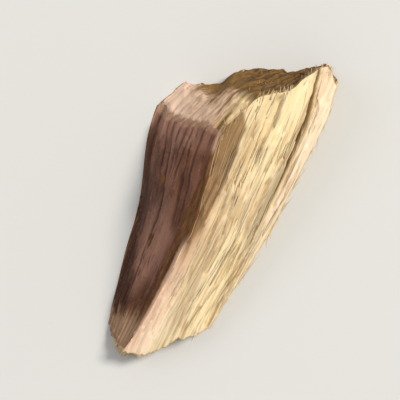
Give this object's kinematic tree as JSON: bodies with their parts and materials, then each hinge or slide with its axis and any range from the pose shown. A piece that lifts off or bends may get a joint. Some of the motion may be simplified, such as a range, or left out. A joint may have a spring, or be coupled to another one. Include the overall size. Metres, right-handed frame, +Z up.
{
  "type": "licorice root chip",
  "caption": "Wedge-shaped chip of cut, dried licorice root, with brown wrinkled bark on one flank, pale straight-grained split wood on the others, and oblique cut ends.",
  "frame": {"origin": "middle of the chip's box in X and Y, on the flat split base that it rests on", "axes": "+X along the fibres, from the thin end to the thick end; +Y across the fibres, towards the bark; +Z up from the split base"},
  "size_m": [0.0098, 0.0046, 0.0025],
  "materials": {
    "licorice_root": "dry, matt split wood, pale yellow, with brown bark on one flank"
  },
  "bodies": {
    "root": {"licorice_root_chip": "licorice_root"}
  },
  "joints": []
}
